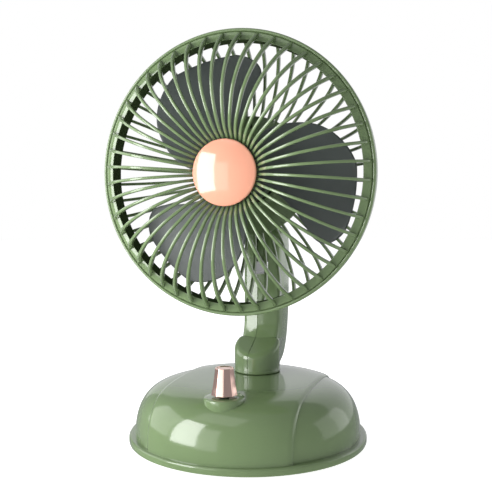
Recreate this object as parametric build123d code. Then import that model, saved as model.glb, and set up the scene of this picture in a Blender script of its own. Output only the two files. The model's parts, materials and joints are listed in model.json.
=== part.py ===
from build123d import *
from math import radians, sin, cos, sqrt
import os

# Small desk fan: a round dome base with a speed knob, a swivelling neck in two shells, and a tilting
# head with a domed 48-rib grille, three petal blades and a direct motor.
# Millimetres. Origin: centre of the base on the ground. -Y is the front, +Z is up.

os.makedirs("parts", exist_ok=True)

# ---- driving dimensions ---------------------------------------------------------------------
WALL = 2.2                    # moulded shell thickness
RUN = 0.06                    # radial clearance of a running fit
GAP = 0.3                     # clearance between faces of bodies that move past each other

RIM_R = 80.0                  # base flange
RIM_BOTTOM = 0.8
RIM_TOP = 5.5
LOBE_R = 75.8                 # side lobes of the dome
LOBE_TOP = 40.1
BAND_R = 77.6                 # raised band that runs front to back
BAND_TOP = 41.4
BAND_HALF = 47.0
DOME_FLAT = 6.7               # exponents of the dome's profile: flat top, tight shoulder
DOME_SHOULDER = 2.2

FOOT_R = 7.0
FOOT_PITCH_R = 60.0
PLATE_R = 74.0
PLATE_BOTTOM = 1.2
PLATE_T = 2.5
PLATE_TOP = PLATE_BOTTOM + PLATE_T
SCREW_PITCH_R = 66.0

KNOB_X = 2.0
KNOB_Y = -53.5
BOSS_R = 12.7
BOSS_TOP = 41.0
KNOB_BOTTOM = 42.4
KNOB_TOP = 59.0
KNOB_R_LOW = 8.4
KNOB_R_HIGH = 5.9
KNOB_SHAFT_R = 3.0
KNOB_SIDES = 10

SWIVEL_Y = 21.6               # vertical axis of the neck
COLLAR_R = 15.9
COLLAR_BOTTOM = BAND_TOP + GAP
TUBE_R = 10.0
TUBE_BORE_R = 7.5
BUSH_R = 13.0
BUSH_BOTTOM = 31.0

NECK_HALF = 13.2              # upper neck
NECK_FRONT = 29.5
TILT_Y = 45.0
TILT_Z = 127.0
NECK_TOP_R = 15.5
FORK_HALF = 5.2
FORK_FLOOR = 109.0
SEAM_X = -2.2
BOLT_R = 3.0

HEAD_Z = 177.8
RING_Y = -29.0                # plane of the guard's widest circle
GUARD_R = 90.3
WINDOW_R = 82.6               # inside of the guard's ring
RIBS = 48
RIB_W = 1.8
RIB_H = 3.0
RIB_PHASE = 4.1
CAP_R = 20.6
CAP_EDGE = 19.7               # forward of the ring plane
BLADE_TIP = 77.0
BLADES = 3
BLADE_LEAD = 17.5             # axial rise of a blade per radian
BLADE_MID = -5.0              # a blade's mean place behind the ring plane
HUB_FRONT = 6.4
SHAFT_R = 1.5
MOTOR_R = 18.0
HOUSING_R = 28.0

HEAD = Plane(origin=(0, RING_Y, HEAD_Z), x_dir=(1, 0, 0), z_dir=(0, -1, 0)).location


# ---- helpers --------------------------------------------------------------------------------
def save(shape, name):
    """Write one sub-part to its own file."""
    solids = shape.solids()
    export_step(solids[0] if len(solids) == 1 else Compound(solids), f"parts/{name}.step")


def tube(r_out, r_in, low, high):
    """Upright ring between two heights."""
    ring = Cylinder(r_out, high - low, align=(Align.CENTER, Align.CENTER, Align.MIN))
    if r_in > 0:
        ring -= Cylinder(r_in, high - low, align=(Align.CENTER, Align.CENTER, Align.MIN))
    return Pos(0, 0, low) * ring


def rod_x(radius, x_low, x_high, y, z):
    """Round bar along X."""
    bar = Cylinder(radius, x_high - x_low, align=(Align.CENTER, Align.CENTER, Align.MIN))
    return Pos(x_low, y, z) * Rot(0, 90, 0) * bar


def box(x_low, x_high, y_low, y_high, z_low, z_high):
    """Box between corner values."""
    lengths = (x_high - x_low, y_high - y_low, z_high - z_low)
    return Pos(x_low, y_low, z_low) * Box(*lengths, align=(Align.MIN, Align.MIN, Align.MIN))


def turned(points):
    """Body of revolution about Z from (radius, height) points."""
    return revolve(Plane.XZ * make_face(Polyline(*points, close=True)), Axis.Z)


def around(shape, count, phase=0.0):
    """Copies of a shape about Z."""
    return [Rot(0, 0, phase + i * 360 / count) * shape for i in range(count)]


def dome(radius, top, inset=0.0):
    """Flat-topped dome standing on the flange, optionally shrunk by a wall."""
    r_foot = radius - inset
    rise = top - inset - RIM_TOP
    steps = 14
    shoulder = []
    for i in range(steps + 1):
        share = sin(radians(90 * i / steps)) ** 0.6
        height = rise * max(0.0, 1 - share ** DOME_FLAT) ** (1 / DOME_SHOULDER)
        shoulder.append((r_foot * share, RIM_TOP + height))
    side = Plane.XZ * make_face([
        Spline(*shoulder, tangents=[(1, 0), (0, -1)]),
        Polyline(shoulder[-1], (r_foot, RIM_BOTTOM), (0, RIM_BOTTOM), shoulder[0]),
    ])
    return revolve(side, Axis.Z)


def polar(radius, angle):
    """Point on a circle."""
    return radius * cos(radians(angle)), radius * sin(radians(angle))


# ---- base -----------------------------------------------------------------------------------
SCREW_SPOTS = [polar(SCREW_PITCH_R, a) for a in (45, 135, 225, 315)]
FOOT_SPOTS = [polar(FOOT_PITCH_R, a) for a in (20, 160, 200, 340)]
SCREW_R = 1.5
SCREW_HEAD_R = 3.2
SCREW_TOP = 16.0
BOARD_Z = 11.0
BOARD_T = 1.6
INLET_Z = BOARD_Z + BOARD_T + 2.0
INLET_HALF_X = 4.6
INLET_HALF_Z = 2.1
SWITCH_HALF = 8.0
SWITCH_TOP = 35.6
SWITCH_BOTTOM = 28.0


def base_shell():
    band_slab = box(-BAND_HALF, BAND_HALF, -RIM_R, RIM_R, 0, BAND_TOP + 1)
    outer = dome(LOBE_R, LOBE_TOP) + (dome(BAND_R, BAND_TOP) & band_slab)
    outer += tube(RIM_R, 0, RIM_BOTTOM, RIM_TOP)
    outer += Pos(KNOB_X, KNOB_Y, 0) * tube(BOSS_R, 0, RIM_TOP, BOSS_TOP)
    shell = outer - dome(LOBE_R, LOBE_TOP, WALL)
    switch_well = Pos(KNOB_X, KNOB_Y, 0) * tube(BOSS_R - WALL, 0, SWITCH_TOP - 6, SWITCH_TOP)
    swivel_socket = Pos(0, SWIVEL_Y, 0) * tube(BUSH_R + 2.5, 0, BUSH_BOTTOM, BAND_TOP)
    bosses = [Pos(x, y, 0) * tube(4.2, 0, PLATE_TOP, 32) for x, y in SCREW_SPOTS]
    inside = dome(LOBE_R, LOBE_TOP, WALL / 2)
    shell += [b & inside for b in bosses] + [swivel_socket]
    shell -= [Pos(x, y, 0) * tube(SCREW_R, 0, 0, SCREW_TOP) for x, y in SCREW_SPOTS]
    shell -= Pos(0, SWIVEL_Y, 0) * tube(BUSH_R, 0, BUSH_BOTTOM - 1, BAND_TOP + 1)
    shell -= switch_well
    shell -= Pos(KNOB_X, KNOB_Y, 0) * tube(KNOB_SHAFT_R + 1.0, 0, SWITCH_TOP - 1, BOSS_TOP + 1)
    shell -= box(-INLET_HALF_X, INLET_HALF_X, 60, RIM_R, INLET_Z - INLET_HALF_Z, INLET_Z + INLET_HALF_Z)
    return shell


def base_plate():
    plate = tube(PLATE_R - 0.6, 0, PLATE_BOTTOM, PLATE_TOP)
    plate -= [Pos(x, y, 0) * tube(SCREW_R, 0, 0, 9) for x, y in SCREW_SPOTS]
    plate -= [Pos(x, y, 0) * tube(SCREW_HEAD_R, 0, 0, PLATE_BOTTOM + 1.4) for x, y in SCREW_SPOTS]
    return plate


def base_screws():
    shank = tube(SCREW_R, 0, PLATE_BOTTOM + 0.2, SCREW_TOP - 1)
    screw = shank + tube(SCREW_HEAD_R - 0.2, 0, PLATE_BOTTOM + 0.2, PLATE_BOTTOM + 1.4)
    return Compound([Pos(x, y, 0) * screw for x, y in SCREW_SPOTS])


def rubber_feet():
    return Compound([Pos(x, y, 0) * tube(FOOT_R, 0, 0, PLATE_BOTTOM) for x, y in FOOT_SPOTS])


def ballast_weight():
    """Open ring round the battery, with a gap at the back for the board."""
    return tube(60, TRAY_R, PLATE_TOP, PLATE_TOP + 4.5) - box(-18, 18, 40, 70, 0, 20)


TRAY_R = 51.0
TRAY_T = 1.6
CELL_R = 9.2
CELL_HALF = 32.5
CELL_Y = (-9.0, -28.0)
CELL_Z = PLATE_TOP + TRAY_T + CELL_R


def battery_tray():
    floor = box(-36, 36, -39, 2, PLATE_TOP, PLATE_TOP + TRAY_T) & tube(TRAY_R - 0.4, 0, 0, 20)
    stop = CELL_HALF + 0.2
    ends = [box(x, x + 1.6, -30, -7, PLATE_TOP, CELL_Z) for x in (-stop - 1.6, stop)]
    return floor + ends


def battery_cells():
    return Compound([rod_x(CELL_R, -CELL_HALF, CELL_HALF, y, CELL_Z) for y in CELL_Y])


def control_board():
    board = box(-15, 15, 44, 66, BOARD_Z, BOARD_Z + BOARD_T)
    top = BOARD_Z + BOARD_T
    chips = box(-9, -2, 48, 55, top, top + 1.6) + box(3, 8, 47, 56, top, top + 3.0)
    posts = [box(x - 1.5, x + 1.5, y - 1.5, y + 1.5, PLATE_TOP, BOARD_Z) for x in (-12, 12) for y in (56, 63)]
    return board + chips + posts


def power_inlet():
    """Flat rounded socket whose mouth is level with the wall at the back."""
    high = box(-4.5, 4.5, 59, 75.6, BOARD_Z + BOARD_T, INLET_Z + 2.0)
    shell = fillet(high.edges().filter_by(Axis.Y), 1.2)
    mouth = fillet(box(-4.1, 4.1, 68, 80, INLET_Z - 1.3, INLET_Z + 1.3).edges().filter_by(Axis.Y), 1.1)
    tongue = box(-3.2, 3.2, 66, 74.6, INLET_Z - 0.35, INLET_Z + 0.35)
    return shell - mouth + tongue


def speed_switch():
    """Rotary control under the knob: body, threaded neck and two fixing ears."""
    body = box(-SWITCH_HALF, SWITCH_HALF, -SWITCH_HALF, SWITCH_HALF, SWITCH_BOTTOM, SWITCH_TOP - 0.2)
    body &= tube(BOSS_R - WALL - 0.2, 0, 0, 60)
    body += tube(KNOB_SHAFT_R + 1.0, 0, SWITCH_TOP - 0.2, BOSS_TOP - 0.2)
    body -= tube(KNOB_SHAFT_R + RUN, 0, SWITCH_BOTTOM + 2, BOSS_TOP + 1)
    return Pos(KNOB_X, KNOB_Y, 0) * body


def swivel_bush():
    return Pos(0, SWIVEL_Y, 0) * tube(BUSH_R, TUBE_R + RUN, BUSH_BOTTOM, BAND_TOP)


# ---- knob -----------------------------------------------------------------------------------
def knob_cap():
    """Flared knob with flat facets."""
    facets = RegularPolygon(1.0, KNOB_SIDES)
    stations = ((0.0, KNOB_R_LOW), (0.12, 8.05), (0.3, 7.45), (0.5, 6.93), (0.75, 6.33), (1.0, KNOB_R_HIGH))
    height = KNOB_TOP - KNOB_BOTTOM
    sections = [Pos(0, 0, KNOB_BOTTOM + t * height) * scale(facets, by=r) for t, r in stations]
    knob = loft(sections, ruled=True)
    knob -= tube(KNOB_SHAFT_R, 0, 0, KNOB_TOP - 3)
    return Pos(KNOB_X, KNOB_Y, 0) * knob


def knob_shaft():
    shaft = tube(KNOB_SHAFT_R, 0, SWITCH_BOTTOM + 2 + GAP, KNOB_TOP - 3)
    return Pos(KNOB_X, KNOB_Y, 0) * shaft


# ---- neck -----------------------------------------------------------------------------------
def neck_side(wall):
    """Side outline of the upright column, moved inwards by a wall."""
    front = NECK_FRONT + wall
    back = TILT_Y + NECK_TOP_R - wall
    heel = 20 + wall
    foot = 44 + wall
    return make_face([
        Line((front, TILT_Z), (front, 80)),
        Spline((front, 80), (27 + wall, 68), (heel, 59), tangents=[(0, -1), (-1, -0.5)]),
        Line((heel, 59), (heel, foot)),
        Line((heel, foot), (33, foot)),
        Spline((33, foot), (45 - wall / 2, 50 + wall), (53 - wall, 60 + wall / 2), (57.5 - wall, 74),
               (back, 96), tangents=[(1, 0.3), (0, 1)]),
        Line((back, 96), (back, TILT_Z)),
        CenterArc((TILT_Y, TILT_Z), NECK_TOP_R - wall, 0, 180),
    ])


def neck_solid(inset):
    """Column and collar together, as one block."""
    half = NECK_HALF - inset
    column = extrude(Plane.YZ * neck_side(inset), half, both=True)
    if not inset:
        sides = column.faces().sort_by(Axis.X)
        column = fillet(sides[0].edges() + sides[-1].edges(), 2.5)
    chin_side = make_face(Polyline(
        (SWIVEL_Y - 20, COLLAR_BOTTOM + inset), (SWIVEL_Y - 20, 53.0 - inset), (25.5, 64.4 - inset),
        (42, 66.2 - inset), (42, COLLAR_BOTTOM + inset), close=True))
    chin = extrude(Plane.YZ * chin_side, COLLAR_R + 2, both=True)
    chin &= Pos(0, SWIVEL_Y, 0) * tube(COLLAR_R - inset, 0, COLLAR_BOTTOM, 70)
    return column + chin


NECK_SCREWS = ((50.0, 74.0), (36.0, 96.0), (54.0, 100.0))


def neck_block():
    """Hollow neck with its fork, before it is split into two shells."""
    block = neck_solid(0)
    hollow = neck_solid(WALL) & box(-30, 30, -20, 80, COLLAR_BOTTOM, FORK_FLOOR - WALL)
    block -= hollow
    block += [rod_x(3.4, -NECK_HALF + 1, NECK_HALF - 1, y, z) for y, z in NECK_SCREWS]
    block += Pos(0, SWIVEL_Y, 0) * tube(COLLAR_R + 0.35, COLLAR_R - 1, COLLAR_BOTTOM, COLLAR_BOTTOM + 1.6)
    block -= box(-FORK_HALF, FORK_HALF, 20, 70, FORK_FLOOR, 160)
    block -= rod_x(BOLT_R, -20, 20, TILT_Y, TILT_Z)
    block -= rod_x(6.2, NECK_HALF - 4.2, 20, TILT_Y, TILT_Z)
    block -= rod_x(6.2, -20, -NECK_HALF + 4.2, TILT_Y, TILT_Z)
    block -= Pos(0, SWIVEL_Y, 0) * tube(TUBE_R, 0, 0, COLLAR_BOTTOM + 4)
    block -= [rod_x(1.4, -20, NECK_HALF - 3, y, z) for y, z in NECK_SCREWS]
    block -= [rod_x(2.8, -20, -NECK_HALF + 2, y, z) for y, z in NECK_SCREWS]
    return block


def neck_screws():
    """Heads sit in pockets of the left shell, tips in the bosses of the right one."""
    shanks = [rod_x(1.4, -NECK_HALF + 2, NECK_HALF - 3.5, y, z) for y, z in NECK_SCREWS]
    heads = [rod_x(2.6, -NECK_HALF + 0.6, -NECK_HALF + 2, y, z) for y, z in NECK_SCREWS]
    return Compound([shank + head for shank, head in zip(shanks, heads)])


def swivel_tube():
    """Hollow pivot of the neck: a flange held in the collar, a tube down through the base."""
    post = tube(TUBE_R, TUBE_BORE_R, BUSH_BOTTOM - 3.4, COLLAR_BOTTOM + 4.6)
    flange = tube(COLLAR_R - WALL - 0.1, TUBE_BORE_R, COLLAR_BOTTOM + WALL, COLLAR_BOTTOM + 4.6)
    return Pos(0, SWIVEL_Y, 0) * (post + flange)


def swivel_nut():
    """Hexagon nut under the bush that keeps the neck in the base."""
    nut = extrude(RegularPolygon(14.0, 6), 2.8)
    nut = Pos(0, 0, BUSH_BOTTOM - GAP - 2.8) * nut - tube(TUBE_R, 0, 0, 60)
    return Pos(0, SWIVEL_Y, 0) * nut


def tilt_bolt():
    return (rod_x(BOLT_R, -NECK_HALF + 1.0, NECK_HALF - 4.2, TILT_Y, TILT_Z)
            + rod_x(5.6, NECK_HALF - 4.2, NECK_HALF - 0.8, TILT_Y, TILT_Z))


def tilt_nut():
    nut = extrude(RegularPolygon(5.8, 6), 3.0)
    nut = Pos(-NECK_HALF + 1.2, TILT_Y, TILT_Z) * Rot(0, 90, 0) * nut
    return nut - rod_x(BOLT_R, -20, 20, TILT_Y, TILT_Z)


LUG_HALF = 4.4


def tilt_washers():
    one = rod_x(8.0, LUG_HALF + 0.1, FORK_HALF, TILT_Y, TILT_Z)
    pair = [one, mirror(one, about=Plane.YZ)]
    bore = rod_x(BOLT_R, -20, 20, TILT_Y, TILT_Z)
    return Compound([p - bore for p in pair])


# ---- head, in its own frame: +Z forward, +Y up, then placed ----------------------------------
FRONT_LINE = ((17.0, 11.0), (20.0, 14.0), (27.0, 22.5), (35.0, 27.3), (50.0, 30.6), (65.0, 26.6),
              (76.0, 18.6), (82.0, 11.6), (85.2, 6.6), (87.3, 3.4))
REAR_LINE = ((38.4, -35.3), (46.0, -35.0), (55.0, -32.6), (66.0, -27.2), (75.0, -20.4), (82.0, -12.0),
             (85.6, -6.0))
HUB_PLATE = (-37.0, -34.6)
PLATE_HOLE_R = MOTOR_R + 0.4


def rib(line, height):
    """One radial rib that follows a line of (radius, forward) points."""
    upper = [(r, d + height / 2) for r, d in line]
    lower = [(r, d - height / 2) for r, d in reversed(line)]
    face = make_face([Spline(*upper), Line(upper[-1], lower[0]), Spline(*lower), Line(lower[-1], upper[0])])
    return extrude(Plane.XZ * face, RIB_W / 2, both=True)


def front_grille():
    """Ring, 48 domed ribs and a hub plate, moulded as one."""
    ring = turned([(WINDOW_R, -4.8), (WINDOW_R, 5.4), (87.5, 3.1), (87.9, 2.5), (88.4, 3.6), (89.4, 3.8),
                   (GUARD_R, 2.6), (GUARD_R, 0.2), (88.4, 0.2), (87.5, 2.0), (WINDOW_R + 1.6, 3.3),
                   (WINDOW_R + 1.6, -4.8)])
    hub = tube(19.0, 0, 9.6, 12.4) + tube(7.0, 0, 12.4, 16.2)
    grille = ring + [hub] + around(rib(FRONT_LINE, RIB_H), RIBS, RIB_PHASE)
    grille -= ring_screws()
    return HEAD * grille


def rear_grille():
    """Ring with a tongue inside the front one, 48 ribs and the plate that carries the motor."""
    ring = turned([(86.0, 1.8), (87.2, 1.8), (87.6, 0.0), (GUARD_R, 0.0), (GUARD_R - 0.3, -4.5), (88.2, -6.6),
                   (WINDOW_R, -6.6), (WINDOW_R, -5.0), (86.0, -5.0)])
    plate = tube(40.0, PLATE_HOLE_R, *HUB_PLATE)
    grille = ring + [plate] + around(rib(REAR_LINE, RIB_H), RIBS, RIB_PHASE)
    grille -= [Pos(*polar(22.5, a), 0) * tube(1.2, 0, -40, -30) for a in (0, 180)]
    grille -= [Pos(*polar(33.0, a), 0) * tube(1.4, 0, -40, -30) for a in (90, 210, 330)]
    grille -= ring_screws()
    return HEAD * grille


def grille_cap():
    """Shallow domed cap in front of the ribs, with a stem that clips on the hub."""
    rise = 4.2
    sphere_r = (CAP_R ** 2 + rise ** 2) / (2 * rise)
    crown = Pos(0, 0, CAP_EDGE + rise - sphere_r) * Sphere(sphere_r)
    cap = tube(CAP_R, 0, CAP_EDGE - 1.6, CAP_EDGE + rise + 1) & crown
    cap -= tube(CAP_R - 1.6, 0, 0, CAP_EDGE + 0.6)
    stem = tube(8.6, 7.0, 13.0, CAP_EDGE + 1.2)
    return HEAD * (cap + stem)


def ring_screws():
    """Three small screws that go in from the ring's edge, in the head's own frame."""
    screw = Cylinder(1.1, 6.8, align=(Align.CENTER, Align.CENTER, Align.MAX))
    return [Rot(0, 0, a) * Pos(GUARD_R - 0.6, 0, -2.6) * Rot(0, 90, 0) * screw for a in (30, 150, 270)]


def grille_screws():
    return HEAD * Compound(ring_screws())


CAN_FRONT = -21.0
CAN_BACK = -51.0


def motor_can():
    can = tube(MOTOR_R, 0, CAN_BACK, CAN_FRONT) - tube(MOTOR_R - 1.2, 0, CAN_BACK + 2, CAN_FRONT - 2)
    can -= tube(4.0, 0, -60, 0)
    ears = [Pos(*polar(22.5, a), 0) * tube(3.0, 1.2, HUB_PLATE[0] - 1.6, HUB_PLATE[0]) for a in (0, 180)]
    bridges = box(-24, 24, -2.6, 2.6, HUB_PLATE[0] - 1.6, HUB_PLATE[0]) - tube(MOTOR_R - 0.6, 0, -60, 0)
    bridges -= [Pos(*polar(22.5, a), 0) * tube(1.2, 0, -60, 0) for a in (0, 180)]
    return HEAD * (can + ears + bridges)


def motor_magnets():
    ring = tube(MOTOR_R - 1.2, 12.2, -45, -27)
    return HEAD * (ring - box(-20, 20, -2, 2, -60, 0))


def bearing(low):
    return HEAD * tube(4.0, SHAFT_R + 0.04, low, low + 3.0)


def motor_shaft():
    return HEAD * tube(SHAFT_R, 0, CAN_BACK - 2.5, HUB_FRONT + 1.0)


def armature():
    """Three-pole core pressed on the shaft."""
    core = tube(11.0, SHAFT_R, -44, -28)
    slots = [Rot(0, 0, a) * Pos(9.0, 0, 0) * tube(2.4, 0, -60, 0) for a in (60, 180, 300)]
    return HEAD * (core - slots)


def motor_screws():
    ear_back = HUB_PLATE[0] - 1.6
    screw = tube(1.2, 0, ear_back, HUB_PLATE[1]) + tube(2.3, 0, ear_back - 1.4, ear_back)
    return HEAD * Compound([Pos(*polar(22.5, a), 0) * screw for a in (0, 180)])


HOUSING_BACK = -84.0


def motor_housing():
    """Cup behind the grille, with the lug that the neck's fork holds."""
    front = HUB_PLATE[0]
    outer = turned([(0, front), (36.0, front), (36.0, -39.5), (HOUSING_R + 1.5, -43.0), (HOUSING_R, -50.0),
                    (HOUSING_R, -74.0), (25.5, -80.0), (20.0, -83.2), (0, HOUSING_BACK)])
    inner = turned([(0, front + 1), (26.2, front + 1), (25.8, -74.0), (22.0, -80.0), (0, -81.6)])
    lug_z = RING_Y - TILT_Y
    drop = HEAD_Z - TILT_Z
    web = box(-LUG_HALF, LUG_HALF, -drop, -20, lug_z - 9, lug_z + 9) & tube(60, HOUSING_R - 2, -100, 0)
    web += Pos(0, -drop, lug_z) * Rot(0, 90, 0) * Cylinder(10.5, 2 * LUG_HALF)
    housing = outer + web - inner
    housing -= Pos(0, -drop, lug_z) * Rot(0, 90, 0) * Cylinder(BOLT_R + RUN, 40)
    housing -= [Pos(*polar(33.0, a), 0) * tube(1.4, 0, -60, 0) for a in (90, 210, 330)]
    housing -= [Pos(*polar(33.0, a), 0) * tube(2.8, 0, -60, -39.5) for a in (90, 210, 330)]
    return HEAD * housing


def housing_screws():
    screw = tube(1.4, 0, -39.5, HUB_PLATE[1]) + tube(2.6, 0, -41.0, -39.5)
    return HEAD * Compound([Pos(*polar(33.0, a), 0) * screw for a in (90, 210, 330)])


# ---- rotor ----------------------------------------------------------------------------------
# Half widths of a blade's outline across its own axis, by distance from the shaft.
BLADE_OUTLINE = ((14.0, -8.0, 15.0), (22.0, -12.0, 24.5), (31.0, -19.5, 28.8), (40.0, -30.5, 30.2),
                 (47.0, -40.5, 30.0), (55.0, -44.5, 28.2), (63.0, -41.0, 24.0), (70.0, -31.5, 17.5),
                 (74.5, -18.0, 9.5), (76.6, -8.0, 0.5))
BLADE_T = 1.8


def blade():
    """One petal: thin sections set along a helix, joined by a ruled loft."""
    sections = []
    for x, low, high in BLADE_OUTLINE:
        rise = [BLADE_MID + BLADE_LEAD * y / sqrt(x * x + y * y) for y in (low, high)]
        corners = [(x, low, rise[0] - BLADE_T / 2), (x, high, rise[1] - BLADE_T / 2),
                   (x, high, rise[1] + BLADE_T / 2), (x, low, rise[0] + BLADE_T / 2)]
        sections.append(make_face(Polyline(*corners, close=True)))
    return loft(sections, ruled=True)


def fan_blade():
    hollow = tube(14.0, 4.0, -20.0, HUB_FRONT - 2.2)
    fan = tube(16.0, 0, -18.0, HUB_FRONT) + around(blade(), BLADES)
    fan -= [hollow, tube(SHAFT_R, 0, -30, 30)]
    return HEAD * fan


def blade_nut():
    nut = Pos(0, 0, HUB_FRONT) * extrude(RegularPolygon(4.4, 6), 1.6)
    return HEAD * (nut - tube(SHAFT_R, 0, 0, HUB_FRONT + 1.0))


# ---- write every sub-part -------------------------------------------------------------------
neck = neck_block()
parts = {
    "base_shell": base_shell(),
    "base_plate": base_plate(),
    "base_screws": base_screws(),
    "rubber_feet": rubber_feet(),
    "ballast_weight": ballast_weight(),
    "battery_tray": battery_tray(),
    "battery_cells": battery_cells(),
    "control_board": control_board(),
    "power_inlet": power_inlet(),
    "speed_switch": speed_switch(),
    "swivel_bush": swivel_bush(),
    "knob_cap": knob_cap(),
    "knob_shaft": knob_shaft(),
    "neck_shell_left": neck & box(-30, SEAM_X, -20, 90, 0, 160),
    "neck_shell_right": neck & box(SEAM_X, 30, -20, 90, 0, 160),
    "neck_screws": neck_screws(),
    "swivel_tube": swivel_tube(),
    "swivel_nut": swivel_nut(),
    "tilt_bolt": tilt_bolt(),
    "tilt_nut": tilt_nut(),
    "tilt_washers": tilt_washers(),
    "front_grille": front_grille(),
    "rear_grille": rear_grille(),
    "grille_cap": grille_cap(),
    "grille_screws": grille_screws(),
    "motor_can": motor_can(),
    "motor_magnets": motor_magnets(),
    "front_bearing": bearing(CAN_FRONT - 3.0),
    "rear_bearing": bearing(CAN_BACK),
    "motor_screws": motor_screws(),
    "motor_housing": motor_housing(),
    "housing_screws": housing_screws(),
    "motor_shaft": motor_shaft(),
    "armature": armature(),
    "fan_blade": fan_blade(),
    "blade_nut": blade_nut(),
}
for name, shape in parts.items():
    save(shape, name)
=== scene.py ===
"""Small desk fan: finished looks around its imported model.

Each visible moulding is built here with rounded edges, and rides on the body of the part it stands
for. Lengths in the settings are metres; the outlines below are millimetres and are scaled as a piece
is finished. Z is up and -Y is the front.
"""

import json
from math import atan2, cos, pi, radians, sin, sqrt

import bmesh
import bpy
from mathutils import Matrix, Vector
from mathutils.geometry import interpolate_bezier


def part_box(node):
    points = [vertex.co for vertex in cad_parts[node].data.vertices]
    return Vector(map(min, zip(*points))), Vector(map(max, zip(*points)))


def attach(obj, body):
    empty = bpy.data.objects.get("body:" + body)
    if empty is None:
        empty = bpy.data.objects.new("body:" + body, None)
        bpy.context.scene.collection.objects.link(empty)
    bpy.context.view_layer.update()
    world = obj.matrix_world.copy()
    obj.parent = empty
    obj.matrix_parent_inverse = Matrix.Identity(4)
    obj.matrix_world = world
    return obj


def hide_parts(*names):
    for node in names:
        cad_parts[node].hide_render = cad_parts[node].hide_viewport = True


bl_info = {
    "name": "Desk fan",
    "version": (1, 0, 0),
    "blender": (4, 5, 0),
    "location": "3D View > Sidebar > Desk fan",
    "description": "Builds the finished mouldings and materials of a small desk fan",
    "category": "Object",
}

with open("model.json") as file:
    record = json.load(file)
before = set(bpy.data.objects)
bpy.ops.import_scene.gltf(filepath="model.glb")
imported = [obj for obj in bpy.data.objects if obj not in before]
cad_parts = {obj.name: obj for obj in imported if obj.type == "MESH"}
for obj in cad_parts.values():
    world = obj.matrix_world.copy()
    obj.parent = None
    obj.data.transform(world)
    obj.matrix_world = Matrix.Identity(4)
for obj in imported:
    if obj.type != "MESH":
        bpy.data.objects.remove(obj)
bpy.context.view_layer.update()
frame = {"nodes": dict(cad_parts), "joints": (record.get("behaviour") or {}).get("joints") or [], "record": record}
JOINT_AT = {j["name"]: Vector(j["pos_m"]) * 1000 for j in frame["joints"]}

MM = 0.001
MERGE = 1e-4                              # points nearer than this, in millimetres, become one
LEVEL = 1e-3                              # and within this much of a height they lie on it
RING_AT = JOINT_AT["blade_spin"]          # middle of the guard's widest circle
TILT_AT = JOINT_AT["head_tilt"]
SWIVEL_AT = JOINT_AT["neck_swivel"]
KNOB_AT = JOINT_AT["speed_knob"]

# The head is modelled with Z forward and Y up, then turned to face the front.
HEAD = Matrix.Translation(RING_AT) @ Matrix(((1, 0, 0, 0), (0, 0, -1, 0), (0, 1, 0, 0), (0, 0, 0, 1)))


# ---- forms ----------------------------------------------------------------------------------
CORNER_SHARE = 0.45           # most of a side that the rounding of one corner may take
CORNER_PULL = 0.55            # fullness of a rounded corner
CORNER_LEAST = 0.02           # smaller roundings are left out


def smooth_line(points, count):
    """Points spread evenly along a smooth curve through the given ones."""
    knots = [Vector(p).to_3d() for p in points]
    spans = [(b - a).length for a, b in zip(knots, knots[1:])]
    ends = len(knots) - 1
    slopes = [
        (knots[min(i + 1, ends)] - knots[max(i - 1, 0)]).normalized() for i in range(ends + 1)
    ]
    dense = []
    for i, span in enumerate(spans):
        reach = span / 3
        piece = interpolate_bezier(
            knots[i], knots[i] + slopes[i] * reach,
            knots[i + 1] - slopes[i + 1] * reach, knots[i + 1], 24)
        dense += piece[:-1]
    dense.append(knots[-1])
    steps = [0.0]
    for a, b in zip(dense, dense[1:]):
        steps.append(steps[-1] + (b - a).length)
    spread, at = [], 0
    for i in range(count):
        wanted = steps[-1] * i / (count - 1)
        while at < len(steps) - 2 and steps[at + 1] < wanted:
            at += 1
        share = (wanted - steps[at]) / (steps[at + 1] - steps[at])
        spread.append(dense[at].lerp(dense[at + 1], min(1.0, share)))
    return spread


def rounded(corners, default=0.4, steps=3):
    """Closed outline with every corner rounded; a corner is (x, y) or (x, y, radius)."""
    outline = []
    count = len(corners)
    for i, corner in enumerate(corners):
        here = Vector(corner[:2])
        radius = corner[2] if len(corner) > 2 else default
        before = Vector(corners[i - 1][:2]) - here
        after = Vector(corners[(i + 1) % count][:2]) - here
        reach = min(radius, before.length * CORNER_SHARE, after.length * CORNER_SHARE)
        if reach < CORNER_LEAST:
            outline.append(here)
            continue
        first = here + before.normalized() * reach
        last = here + after.normalized() * reach
        outline += interpolate_bezier(
            first.to_3d(), first.lerp(here, CORNER_PULL).to_3d(),
            last.lerp(here, CORNER_PULL).to_3d(), last.to_3d(), steps + 1)
    return [p.to_2d() if len(p) > 2 else p for p in outline]


def turned(outline, steps=192, closed=True):
    """Spin an outline of (radius, height) round Z."""
    form = bmesh.new()
    verts = [form.verts.new((p[0], 0, p[1])) for p in outline]
    pairs = list(zip(verts, verts[1:]))
    if closed:
        pairs.append((verts[-1], verts[0]))
    edges = [form.edges.new(pair) for pair in pairs]
    bmesh.ops.spin(form, geom=verts + edges, cent=(0, 0, 0), axis=(0, 0, 1), angle=2 * pi,
                   steps=steps, use_merge=True)
    bmesh.ops.remove_doubles(form, verts=form.verts, dist=MERGE)
    bmesh.ops.recalc_face_normals(form, faces=form.faces)
    return form


def rod(radius, low, high, steps=48):
    """Plain cylinder round Z between two heights."""
    return turned([(0, low), (radius, low), (radius, high), (0, high)], steps, closed=False)


def slab(outline, low, high):
    """Flat outline in XY raised from one height to another."""
    form = bmesh.new()
    base = form.faces.new([form.verts.new((p[0], p[1], low)) for p in outline])
    top = bmesh.ops.extrude_face_region(form, geom=[base])["geom"]
    bmesh.ops.translate(form, vec=(0, 0, high - low),
                        verts=[g for g in top if isinstance(g, bmesh.types.BMVert)])
    bmesh.ops.recalc_face_normals(form, faces=form.faces)
    return form


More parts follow.
